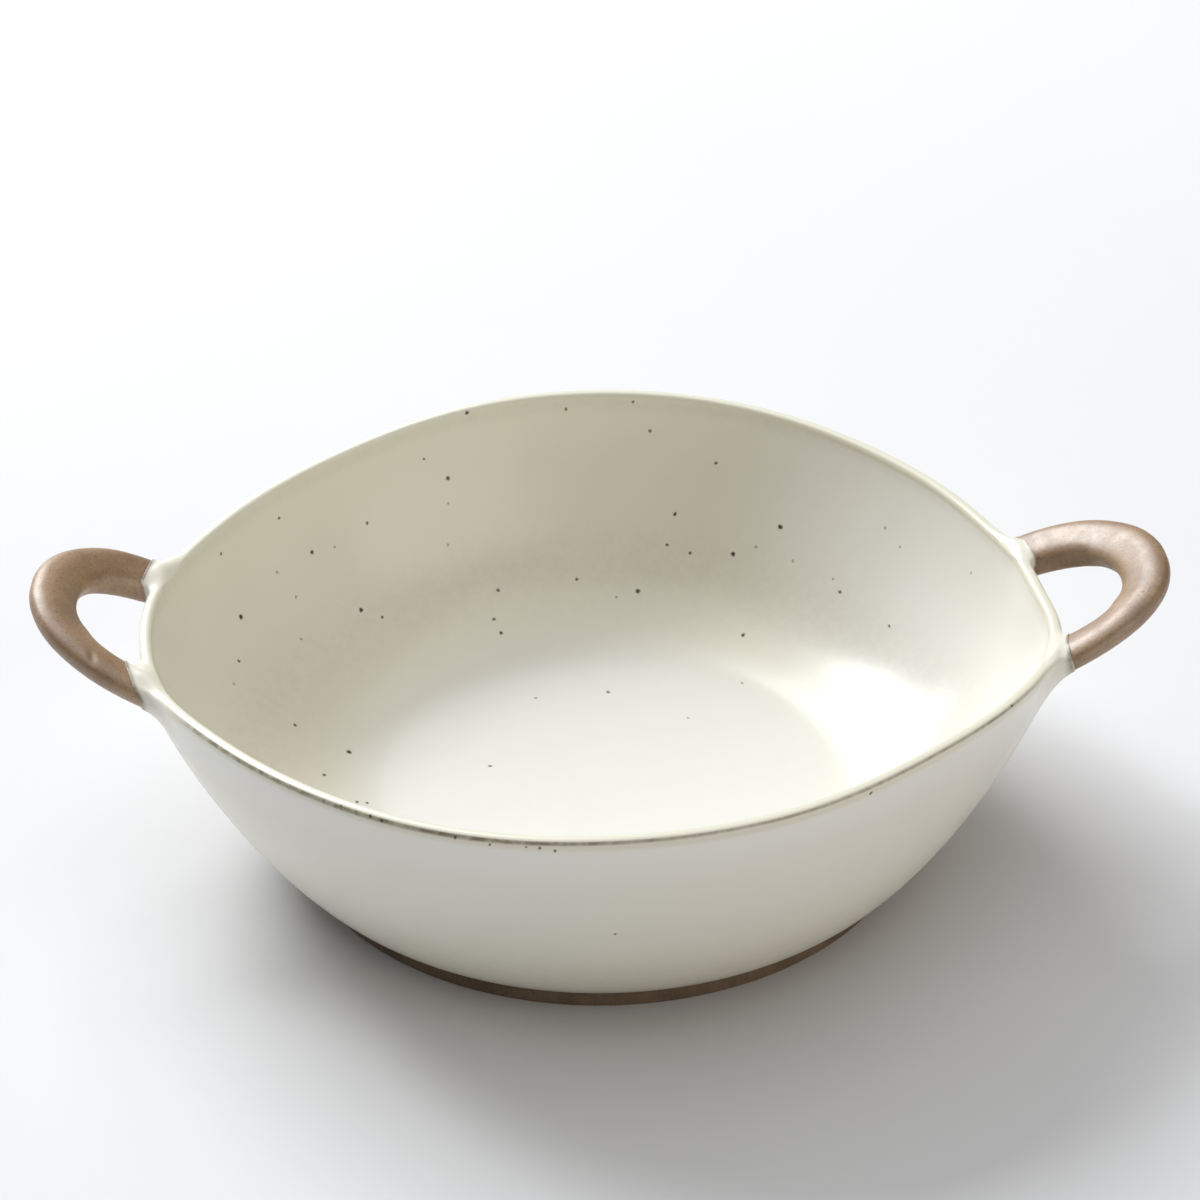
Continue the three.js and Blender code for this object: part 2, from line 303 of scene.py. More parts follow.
def bezier(start, start_pull, end_pull, end, t):
    """Cubic Bezier curve: its four points weighted by the Bernstein polynomials of t."""
    t = np.asarray(t, float)[..., None]
    u = 1.0 - t
    a, b, c, d = (np.asarray(p, float) for p in (start, start_pull, end_pull, end))
    return u**3 * a + 3.0 * u**2 * t * b + 3.0 * u * t**2 * c + t**3 * d


def bezier_slope(start, start_pull, end_pull, end, t):
    """Derivative of that curve by t."""
    t = np.asarray(t, float)[..., None]
    u = 1.0 - t
    a, b, c, d = (np.asarray(p, float) for p in (start, start_pull, end_pull, end))
    return 3.0 * u**2 * (b - a) + 6.0 * u * t * (c - b) + 3.0 * t**2 * (d - c)


def bell(value, reach):
    """Bell curve: exp(-(value / reach)^2)."""
    return np.exp(-((value / reach) ** 2))


def superellipse(turn, power):
    """Side and height of a superellipse of radius one: the cosine and the sine of the angle, each to
    that power with its sign kept."""
    c, s = np.cos(turn), np.sin(turn)
    return np.sign(c) * np.abs(c) ** power, np.sign(s) * np.abs(s) ** power


def unit(vectors):
    """Vectors scaled to length one."""
    return vectors / np.linalg.norm(vectors, axis=-1, keepdims=True)


def arc_length(line):
    """Way along a line of points to each of them."""
    return np.concatenate([[0.0], np.cumsum(np.linalg.norm(np.diff(line, axis=0), axis=1))])


def lip_curve(wall, turn):
    """Lip with a flat top and rounded edges: a superellipse about the middle of the rim's thickness, by
    the angle of its normal from outwards."""
    radius = wall.lip_thickness / 2
    middle = wall.rim_height - radius
    side, up = superellipse(turn, 1.0 / (wall.lip_power - 1.0))
    far = (np.abs(side) ** wall.lip_power + np.abs(up) ** wall.lip_power) ** (1.0 / wall.lip_power)
    return np.stack([wall.rim_width / 2 + radius * side / far, middle + radius * up / far], -1)


def wall_curves(wall):
    """Control points of the outer wall, from foot to lip, and of the inner wall, from lip to floor, and
    the angles at which the lip leaves each of them without a corner."""
    lip = wall.lip_thickness / 2
    run = wall.rim_width / 2 + lip - wall.foot_radius
    rise = wall.rim_height - lip - wall.foot_height
    shoulder = wall.foot_height + wall.shoulder_rise * rise
    outer_angle = -math.atan2((1 - wall.shoulder_run) * run, (1 - wall.shoulder_rise) * rise)
    inner_reach = wall.foot_radius + wall.shoulder_run * run - wall.wall_thickness
    inner_run = wall.rim_width / 2 - lip - inner_reach
    inner_angle = math.pi + math.atan2(inner_run, wall.rim_height - lip - shoulder)
    floor = wall.foot_height + wall.floor_thickness
    cove = wall.floor_radius + wall.cove_run * (wall.rim_width / 2 - wall.floor_radius)
    cove_rise = 2 * wall.floor_dish / wall.floor_radius * (cove - wall.floor_radius)
    outer = (
        (wall.foot_radius, wall.foot_height),
        (wall.foot_radius + wall.belly_run * run, wall.foot_height + wall.belly_rise * rise),
        (wall.foot_radius + wall.shoulder_run * run, shoulder),
        tuple(lip_curve(wall, outer_angle)),
    )
    inner = (
        tuple(lip_curve(wall, inner_angle)),
        (inner_reach, shoulder),
        (cove, floor + cove_rise),
        (wall.floor_radius, floor),
    )
    return outer, inner, outer_angle, inner_angle


def draw_out(wall, turn, radius, height):
    """The turned wall drawn out at its two ends: a power of |cos| of the angle, growing with the height
    as 1 - (1 - up)^2, is added to the radius, and a cosine of twice the angle sways the lip. Near the
    axis both fade out."""
    up = np.clip((height - wall.foot_height) / (wall.rim_height - wall.foot_height), 0.0, 1.0)
    fade = smooth(radius, 0.0, wall.floor_radius)
    pull = (wall.rim_length - wall.rim_width) / 2 * np.abs(np.cos(turn)) ** wall.end_power
    far = radius + fade * pull * (1.0 - (1.0 - up) ** 2)
    sway = wall.rim_sway * np.cos(2.0 * turn) * up * fade
    return np.stack(np.broadcast_arrays(far * np.cos(turn), far * np.sin(turn), height - sway), -1)


def by_hand(wall, points):
    """Lopsidedness of a bowl made by hand: each push moves the points round it by its shift times a
    bell curve of their distance, and all of them fade out down the wall."""
    moved = points
    up = smooth(points[..., 2:], wall.foot_height, 0.8 * wall.rim_height)
    for place, reach, shift in PUSHES:
        away = np.sum((points / MM - np.array(place)) ** 2, -1, keepdims=True)
        moved = moved + up * np.exp(-away / reach**2) * np.array(shift) * MM
    return moved


class BodySection(NamedTuple):
    """Section of the body: radius and height of its rows, the way along it to each row, and the rows
    where the lip begins, where its outer edge turns up, and where the inner wall begins."""

    rows: np.ndarray
    along: np.ndarray
    lip_start: int
    lip_edge: int
    inside_start: int


def body_section(wall):
    """Section from the middle of the underside over the glaze roll, the outer wall, the lip and the
    inner wall to the middle of the floor: an arc, a Bezier curve, a superellipse, a Bezier curve and a
    parabola."""
    outer, inner, outer_angle, inner_angle = wall_curves(wall)
    roll = wall.glaze_roll
    under = np.linspace(0.0, wall.foot_radius - 0.6 * roll, UNDERSIDE_ROWS)
    underside = np.stack([under, np.full_like(under, wall.foot_height)], -1)
    bottom = np.linspace(-0.5 * math.pi, 0.0, 7)[1:]
    edge_height = wall.foot_height + roll * (np.sin(bottom) + 0.9)
    edge = np.stack([under[-1] + roll * np.cos(bottom), edge_height], -1)
    outside = bezier(*outer, np.linspace(0.0, 1.0, WALL_ROWS) ** 1.1)[4:]
    lip_turn = np.linspace(outer_angle, inner_angle, LIP_ROWS)[1:-1]
    lip = lip_curve(wall, lip_turn)
    inside = bezier(*inner, np.linspace(0.0, 1.0, INSIDE_ROWS))
    radius = np.linspace(wall.floor_radius, 0.0, FLOOR_ROWS)[1:]
    dish = inner[3][1] - wall.floor_dish * (1.0 - (radius / wall.floor_radius) ** 2)
    floor = np.stack([radius, dish], -1)
    rows = np.concatenate([underside, edge, outside, lip, inside, floor])
    lip_start = len(underside) + len(edge) + len(outside)
    lip_edge = lip_start + int(np.argmin(np.abs(lip_turn - 0.25 * math.pi)))
    return BodySection(rows, arc_length(rows), lip_start, lip_edge, lip_start + len(lip))


def glaze_shares(coat, section, points):
    """Shares of the glaze over the body. Thin: a line under the lip, widest at the left and ending at
    the handles, and a haze inside the lip, with painted shade added low on the inner wall and over
    the foot. Painted light, whiter glaze: up the outer wall and under the lip, and high inside at the
    right. Painted light, a whiter, less yellow tone: the floor, and inside at the right. Scattered
    specks: the inside of the front wall."""
    radius, height = section.rows[:, :1], section.rows[:, 1:]
    along = section.along[:, None]
    at_lip = along[section.lip_start - 1]
    inside_lip = along[section.inside_start]
    outside = along < at_lip
    inside = along > inside_lip
    across = points[..., 0]
    left = smooth(-across, -30.0 * MM, 60.0 * MM)
    down = along[section.lip_edge] - along
    line = 1.0 - smooth(down / (coat.line_width + coat.line_more * left), 0.45, 1.0)
    line = line * smooth(down, -0.25 * MM, 0.1 * MM) * (0.7 + 0.3 * left)
    line = line * (1.0 - smooth(np.abs(across), coat.line_end - coat.line_fade, coat.line_end))
    haze = coat.lip_haze * bell(along - inside_lip - 1.0 * MM, coat.lip_haze_width)
    # Painted shade: a darker band low on the inner wall, added to the thin glaze share.
    haze = haze + inside * coat.cove_painted_shade * bell(height - coat.cove_painted_shade_height, coat.cove_painted_shade_width)
    # Painted shade: the outer wall darkening towards the foot, added to the thin glaze share.
    haze = haze + outside * coat.foot_painted_shade * (1.0 - smooth(height, 8.0 * MM, 32.0 * MM))
    # Painted light: a share of whiter glaze growing up the outer wall and under the lip.
    thick = coat.foot_painted_light + coat.wall_painted_light * smooth(height, 10.0 * MM, 50.0 * MM)
    thick = thick + coat.lip_painted_light * smooth(along, at_lip - 14.0 * MM, at_lip - 3.0 * MM)
    # Painted light on the inner wall at the right: whiter glaze high up.
    lit_upper_right = smooth(across, 30.0 * MM, 95.0 * MM) * smooth(points[..., 2], 20.0 * MM, 50.0 * MM)
    # Painted light: a whiter, less yellow tone over the floor.
    pool = 1.0 - smooth(radius, coat.painted_light_floor_radius - coat.painted_light_floor_fade, coat.painted_light_floor_radius)
    # Painted light: the whiter, less yellow tone on the inner wall at the right.
    right = coat.right_painted_light * smooth(across, 30.0 * MM, 90.0 * MM)
    front = smooth(-points[..., 1], 30.0 * MM, 40.0 * MM) * (np.abs(across) < 75.0 * MM)
    return {
        "thin_glaze": np.maximum(line, haze),
        "thick_glaze": outside * thick + inside * coat.right_painted_light * lit_upper_right,
        "pool_glaze": inside * np.maximum(pool, right),
        "scattered_specks": inside * front,
    }


def body_surface(wall, coat):
    """Body: its section carried round the axis by the angle, then drawn out at the ends. Returns the
    points and the shares of its glaze, painted light and painted shade."""
    section = body_section(wall)
    turn = np.linspace(0.0, 2.0 * math.pi, BODY_COLUMNS, endpoint=False)
    points = draw_out(wall, turn[None, :], section.rows[:, :1], section.rows[:, 1:])
    return by_hand(wall, points), glaze_shares(coat, section, points)


def foot_surface(wall):
    """Foot ring: a rounded rectangle turned round the axis."""
    outside = wall.foot_radius - 0.1 * MM
    inside = wall.foot_radius - wall.foot_width
    edge = wall.foot_edge
    middle = (inside + outside) / 2
    quarter = np.linspace(0.0, 0.5 * math.pi, 7)
    low_out = np.stack([outside - edge + edge * np.sin(quarter), edge - edge * np.cos(quarter)], -1)
    low_in = np.stack([inside + edge - edge * np.cos(quarter), edge - edge * np.sin(quarter)], -1)
    up = np.linspace(edge, wall.foot_height, 8)[1:]
    right = np.stack([np.full_like(up, outside), up], -1)
    left = np.stack([np.full_like(up, inside), up[::-1]], -1)
    top = np.array([[middle, wall.foot_height]])
    flat = np.array([[middle, 0.0]])
    profile = np.concatenate([flat, low_out, right, top, left, low_in])
    turn = np.linspace(0.0, 2.0 * math.pi, FOOT_COLUMNS, endpoint=False)
    return draw_out(wall, turn[None, :], profile[:, :1], profile[:, 1:])


class Root(NamedTuple):
    """One root: its flip from the right rear one, the glazed length of its arm in millimetres, how much
    longer that is towards an angle round the strap, the phase of the wavy edge, and drips by angle and
    length."""

    flip: tuple
    glazed: float
    lean: float
    lean_angle: float
    wave: float
    drips: tuple = ()


ROOTS = {
    "right_rear": Root((1, 1, 1), 1.9, 0.5, 0.75 * math.pi, 0.4),
    "right_front": Root((1, -1, 1), 4.0, 2.2, 1.25 * math.pi, 1.9),
    "left_rear": Root((-1, 1, 1), 3.5, 1.3, 0.85 * math.pi, 3.1, ((0.65, 0.8),)),
    "left_front": Root((-1, -1, 1), 4.2, 1.7, 0.65 * math.pi, 4.6),
}


class Loop:
    """Middle line and sections of the right handle's strap, with its roots on the wall."""

    def __init__(self, wall, handle):
        self.wall = wall
        self.handle = handle
        half = wall.rim_length / 2
        end = wall.rim_height - wall.rim_sway
        start = np.array([half - handle.root_inset, handle.spread, end - handle.root_drop])
        bend = np.array([half + handle.reach, 0.0, end + handle.rise])
        toe = handle.arm_toe
        leave = unit(np.array([math.cos(toe), -math.sin(toe), math.tan(handle.arm_rise)]))
        before_bend = bend + np.array([0.0, handle.bend_length, 0.0])
        self.arm = (start, start + handle.arm_length * leave, before_bend, bend)
        outer, _, outer_angle, _ = wall_curves(wall)
        outside = bezier(*outer, np.linspace(0.0, 1.0, 400))
        over = lip_curve(wall, np.linspace(outer_angle, 0.5 * math.pi, 120))
        inward = lip_curve(wall, np.linspace(0.5 * math.pi, 0.9 * math.pi, 60))
        self.skin_line = np.concatenate([outside, over[1:]])
        self.skin_arc = arc_length(self.skin_line)
        self.lip_line = np.concatenate([self.skin_line, inward[1:]])
        places = np.linspace(0.0, 0.5, 4001)
        line = bezier(*self.arm, places)
        outside = np.hypot(line[:, 0], line[:, 1]) > np.hypot(*self.wall_at(line)[:, :2].T)
        self.at_wall = places[np.argmax(outside)]
        self.exit = bezier(*self.arm, self.at_wall)
        self.exit_turn = math.atan2(self.exit[1], self.exit[0])
        height = float(self.base_height(self.exit_turn, self.exit[2]))
        self.exit_arc = float(np.interp(height, self.skin_line[:, 1], self.skin_arc))
        top_arc = float(np.interp(wall.rim_height, self.skin_line[:, 1], self.skin_arc))
        self.lip_arc = top_arc - self.exit_arc
        self.speed = float(np.linalg.norm(bezier_slope(*self.arm, self.at_wall)))
        step = 0.02
        beside = self.skin(self.exit_turn + step, 0.0) - self.skin(self.exit_turn - step, 0.0)
        self.along_wall = unit(beside * LEVEL)

    def base_height(self, turn, z):
        """Height before the lip was swayed, from the height after it."""
        tall = self.wall.rim_height - self.wall.foot_height
        swayed = tall - self.wall.rim_sway * np.cos(2.0 * turn)
        return self.wall.foot_height + np.clip((z - self.wall.foot_height) / swayed, 0.0, 1.0) * tall

    def skin(self, turn, up):
        """Point on the outside of the wall and over its lip, by angle and by the way up from the
        strap's exit."""
        arc = arc_length(self.lip_line)
        radius = np.interp(self.exit_arc + up, arc, self.lip_line[:, 0])
        height = np.interp(self.exit_arc + up, arc, self.lip_line[:, 1])
        return draw_out(self.wall, turn, radius, height)

    def wall_at(self, points):
        """Point on the outside of the wall in the direction and at the height of each point."""
        turn = np.arctan2(points[:, 1], points[:, 0])
        height = self.base_height(turn, points[:, 2])
        radius = np.interp(height, self.skin_line[:, 1], self.skin_line[:, 0])
        return draw_out(self.wall, turn, radius, height)

    def frames(self, place):
        """Middle, across and through vectors of the section at a place: 0 is the start of the rear arm
        in the wall, 1 the bend and 2 the end of the front arm. Across points into the finger gap and
        through points up. Near the wall both turn to lie along the wall and upright."""
        front = place > 1.0
        on = np.where(front, 2.0 - place, place)
        mirror = np.where(front[..., None], FRONT_TO_REAR, np.ones(3))
        back = np.where(front[..., None], -1.0, 1.0)
        middle = bezier(*self.arm, on) * mirror
        ahead = unit(bezier_slope(*self.arm, on)) * mirror * back
        tilt = self.handle.strap_tilt
        lean = np.array([-math.sin(tilt), 0.0, math.cos(tilt)])
        through = unit(lean - np.sum(lean * ahead, -1, keepdims=True) * ahead)
        across = np.cross(ahead, through)
        clear = self.at_wall + 0.05
        rooted = 1.0 - smooth(on, clear, clear + self.handle.root_blend)[..., None]
        upright = UP / through[..., 2:]
        level = np.where(front[..., None], -self.along_wall * FRONT_TO_REAR, self.along_wall)
        level = level / np.sum(level * across, -1, keepdims=True)
        through = through + rooted * (upright - through)
        across = across + rooted * (level - across)
        return middle, across, through

    def section(self, turn):
        """Rounded section of the strap: a superellipse that is squarer on the side of the finger gap."""
        inner, outer = self.handle.inner_power, self.handle.outer_power
        power = outer + (inner - outer) * smooth(np.cos(turn), -0.6, 0.6)
        return superellipse(turn, 2.0 / power)

    def surface(self, place, turn, proud):
        """Strap's surface: the section, grown by proud, carried along the middle line."""
        middle, across, through = self.frames(place)
        side, face = self.section(turn)
        half_width = (self.handle.strap_width / 2 + proud) * side
        half_thickness = (self.handle.strap_thickness / 2 + proud) * face
        return middle + half_width[..., None] * across + half_thickness[..., None] * through


def glaze_edge(loop, turn, root):
    """Place on an arm where the glaze ends, round the strap: a leaning, wavy line with drips."""
    edge = root.glazed + root.lean * np.cos(turn - root.lean_angle)
    edge = edge + 0.2 * np.sin(2.0 * turn + root.wave) + 0.1 * np.sin(5.0 * turn - root.wave)
    for at, size in root.drips:
        edge = edge + size * bell(np.angle(np.exp(1j * (turn - at))), 0.28)
    return loop.at_wall + edge * MM / loop.speed


def strap_surface(loop, rear, front, dents=()):
    """Bare clay strap: its section carried along the loop from just inside one glaze edge to the other,
    with the soft unevenness of rolled clay as a sum of sines, bell-shaped dents, and closed at its
    ends."""
    turn = np.linspace(0.0, 2.0 * math.pi, STRAP_COLUMNS, endpoint=False)[None, :]
    tuck = 0.45 * MM / loop.speed
    start = glaze_edge(loop, turn, rear) - tuck
    end = 2.0 - glaze_edge(loop, turn, front) + tuck
    place = start + (end - start) * np.linspace(0.0, 1.0, STRAP_ROWS)[:, None]
    turn = np.broadcast_to(turn, place.shape)
    uneven = 0.05 * np.sin(7.0 * place + turn) + 0.04 * np.sin(13.0 * place - turn + 1.3)
    uneven = uneven + 0.02 * np.sin(23.0 * place + 2.0 * turn + 0.4)
    uneven = uneven * (1.0 - 0.8 * smooth(np.cos(turn), 0.0, 0.8)) - 0.12
    for at, round_at, size, depth in dents:
        sideways = np.angle(np.exp(1j * (turn - round_at))) * 5.0 * MM
        uneven = uneven - depth * bell(np.hypot(sideways, (place - at) * loop.speed), size * MM)
    points = loop.surface(place, turn, uneven * MM)
    ends = [points[:1].mean(1, keepdims=True), points[-1:].mean(1, keepdims=True)]
    caps = [middle + (row - middle) * 0.5 for middle, row in zip(ends, (points[:1], points[-1:]))]
    poles = [middle + 0.0 * row for middle, row in zip(ends, caps)]
    return np.concatenate([poles[0], caps[0], points, caps[1], poles[1]])


def root_surface(loop, root):
    """Glazed root of the rear arm: from a rounded glaze edge on the strap, cubic Bezier curves run down
    the strap and land along the wall and the lip on a flared oval, so that the root grows out of them
    with no corner. Returns the points and the shares of its glaze and painted light."""
    handle = loop.handle
    turn = np.linspace(0.0, 2.0 * math.pi, ROOT_COLUMNS, endpoint=False)
    side, face = loop.section(turn)
    place = glaze_edge(loop, turn, root)
    proud = handle.glaze_thickness
    quarter = np.linspace(-0.5, 0.5 * math.pi, 6)[:, None]
    rounding = loop.surface(
        place + np.cos(quarter) * proud / loop.speed,
        np.broadcast_to(turn, (len(quarter), ROOT_COLUMNS)),
        np.sin(quarter) * proud * np.ones(ROOT_COLUMNS),
    )
    start = rounding[-1]
    step = 0.2 * MM / loop.speed
    leaving = unit(loop.surface(place - step, turn, proud) - loop.surface(place + step, turn, proud))
    flare = np.where(side > 0.0, handle.root_inner, handle.root_outer)
    shift = -side * (handle.strap_width / 2 + flare) / np.linalg.norm(loop.exit[:2])
    below = handle.strap_thickness / 2 + handle.root_down
    rise = face * np.where(face > 0.0, loop.lip_arc + handle.root_up, below)

    def landing(scale):
        return loop.skin(loop.exit_turn + scale * shift, scale * rise)

    end = landing(1.0)
    outwards = unit(landing(1.03) - landing(0.97))
    reach = np.linalg.norm(end - start, axis=-1, keepdims=True)
    t = np.linspace(0.0, 1.0, ROOT_ROWS)[1:, None]
    ease = np.where(face > 0.0, 0.36 + 0.3 * np.abs(face), 0.36)[:, None]
    sheet = bezier(start, start + 0.3 * reach * leaving, end - ease * reach * outwards, end, t)
    outer = unit(loop.exit * LEVEL)
    sunk = end - 0.4 * MM * outer - 0.3 * MM * UP + 0.2 * MM * outwards
    wall_pole = landing(0.0) - 1.4 * MM * outer
    strap_pole = loop.frames(np.full(ROOT_COLUMNS, place.min() - 1.0 * MM / loop.speed))[0]
    rows = [strap_pole[None], rounding, sheet, sunk[None], wall_pole[None]]
    on_edge = np.linspace(1.0, 0.75, len(quarter))
    thin = np.concatenate([[0.0], on_edge, bell(t[:, 0], 1.0 / 9.0), [0.0, 0.0]])
    along = np.concatenate([np.zeros(1 + len(quarter)), t[:, 0], np.ones(2)])[:, None]
    # Painted light: a share of whiter glaze over each root, so that it looks as lit as the lip beside it.
    thick = 0.4 + along * np.where(face > 0.0, -0.3 * face, -0.35 * face)
    shares = {"thin_glaze": np.broadcast_to(thin[:, None], thick.shape), "thick_glaze": thick}
    return np.concatenate(rows), shares


# Meshes


def closed_skin(points):
    """Points, quads and triangles of a closed skin over a grid: rows along the piece, columns round it.
    The first and last rows are one point each, with a fan of triangles round it."""
    rows, columns = points.shape[:2]
    inner = points[1:-1].reshape(-1, 3)
    count = len(inner)
    places = np.concatenate([inner, points[0].mean(0)[None], points[-1].mean(0)[None]])
    index = np.arange(count).reshape(rows - 2, columns)
    after = np.roll(index, -1, 1)
    quads = np.stack([index[:-1], after[:-1], after[1:], index[1:]], -1).reshape(-1, 4)
    first = np.stack([np.full(columns, count), after[0], index[0]], -1)
    last = np.stack([np.full(columns, count + 1), index[-1], after[-1]], -1)
    return places, quads, np.concatenate([first, last])


def ring_skin(points):
    """Points and quads of a skin over a grid that closes on itself both ways. It has no triangles."""
    rows, columns = points.shape[:2]
    index = np.arange(rows * columns).reshape(rows, columns)
    after = np.roll(index, -1, 1)
    quads = np.stack([index, after, np.roll(after, -1, 0), np.roll(index, -1, 0)], -1).reshape(-1, 4)
    return points.reshape(-1, 3), quads, np.empty((0, 3), int)


def add_piece(name, skin, material, node, shares=None):
    """Piece from the points, quads and triangles of a closed skin, with the shares of its glaze as
    attributes. Faces are turned outwards by the sign of the enclosed volume."""
    places, quads, fans = skin
    corner = places[np.concatenate([quads[:, [0, 1, 2]], quads[:, [0, 2, 3]], fans])]
    if np.sum(corner[:, 0] * np.cross(corner[:, 1], corner[:, 2])) < 0.0:
        quads = quads[:, ::-1]
        fans = fans[:, ::-1]
    corners = np.concatenate([quads.ravel(), fans.ravel()]).astype(np.int32)
    starts = np.concatenate([np.arange(len(quads)) * 4, 4 * len(quads) + np.arange(len(fans)) * 3])
    mesh = bpy.data.meshes.new(name)
    mesh.vertices.add(len(places))
    mesh.vertices.foreach_set("co", places.astype(np.float32).ravel())
    mesh.loops.add(len(corners))
    mesh.loops.foreach_set("vertex_index", corners)
    mesh.polygons.add(len(starts))
    mesh.polygons.foreach_set("loop_start", starts.astype(np.int32))
    mesh.update(calc_edges=True)
    mesh.polygons.foreach_set("use_smooth", np.ones(len(starts), bool))
    if mesh.validate():
        raise RuntimeError(f"{name} has faces that don't hold")
    for tone, grid in (shares or {}).items():
        values = np.concatenate([grid[1:-1].ravel(), grid[0, :1], grid[-1, :1]])
        layer = mesh.attributes.new(tone, "FLOAT", "POINT")
        layer.data.foreach_set("value", values.astype(np.float32))
    mesh.materials.append(material)
    piece = bpy.data.objects.new(name, mesh)
    bpy.context.scene.collection.objects.link(piece)
    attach(piece, BODY)
    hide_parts(node)


# Materials


class Nodes:
    """Short words for the nodes of one material."""

    def __init__(self, name):
        self.material = bpy.data.materials.new(name)
        self.material.use_nodes = True
        self.tree = self.material.node_tree
        self.shader = self.tree.nodes["Principled BSDF"]
        self.place = self.add("ShaderNodeTexCoord").outputs["Object"]

    def add(self, kind, **values):
        node = self.tree.nodes.new(kind)
        for key, value in values.items():
            setattr(node, key, value)
        return node

    def attribute(self, name):
        return self.add("ShaderNodeAttribute", attribute_name=name).outputs["Fac"]

    def put(self, socket, value):
        if isinstance(value, bpy.types.NodeSocket):
            self.tree.links.new(value, socket)
        else:
            socket.default_value = value

    def noise(self, scale, detail=3.0, roughness=0.5, place=None):
        node = self.add("ShaderNodeTexNoise")
        self.put(node.inputs["Vector"], self.place if place is None else place)
        node.inputs["Scale"].default_value = scale
        node.inputs["Detail"].default_value = detail
        node.inputs["Roughness"].default_value = roughness
        return node.outputs["Fac"]

    def cells(self, scale, place=None):
        node = self.add("ShaderNodeTexVoronoi")
        self.put(node.inputs["Vector"], self.place if place is None else place)
        node.inputs["Scale"].default_value = scale
        return node

    def ramp(self, value, low, high, start=0.0, end=1.0):
        node = self.add("ShaderNodeMapRange", interpolation_type="SMOOTHSTEP")
        for socket, number in zip(node.inputs[:5], (value, low, high, start, end)):
            self.put(socket, number)
        return node.outputs[0]

    def maths(self, operation, *values):
        node = self.add("ShaderNodeMath", operation=operation)
        for socket, value in zip(node.inputs, values):
            self.put(socket, value)
        return node.outputs[0]

    def vector(self, operation, first, second, output="Vector"):
        node = self.add("ShaderNodeVectorMath", operation=operation)
        self.put(node.inputs[0], first)
        self.put(node.inputs[1], second)
        return node.outputs[output]

    def blend(self, factor, first, second):
        node = self.add("ShaderNodeMix", data_type="RGBA")
        self.put(node.inputs[0], factor)
        for socket, tone in zip(node.inputs[6:8], (first, second)):
            self.put(socket, tone if isinstance(tone, bpy.types.NodeSocket) else (*tone, 1.0))
        return node.outputs[2]

    def bump(self, height, distance, strength):
        node = self.add("ShaderNodeBump")
        node.inputs["Strength"].default_value = strength
        node.inputs["Distance"].default_value = distance
        self.put(node.inputs["Height"], height)
        return node.outputs["Normal"]

    def shade(self, name, value):
        self.put(self.shader.inputs[name], value)


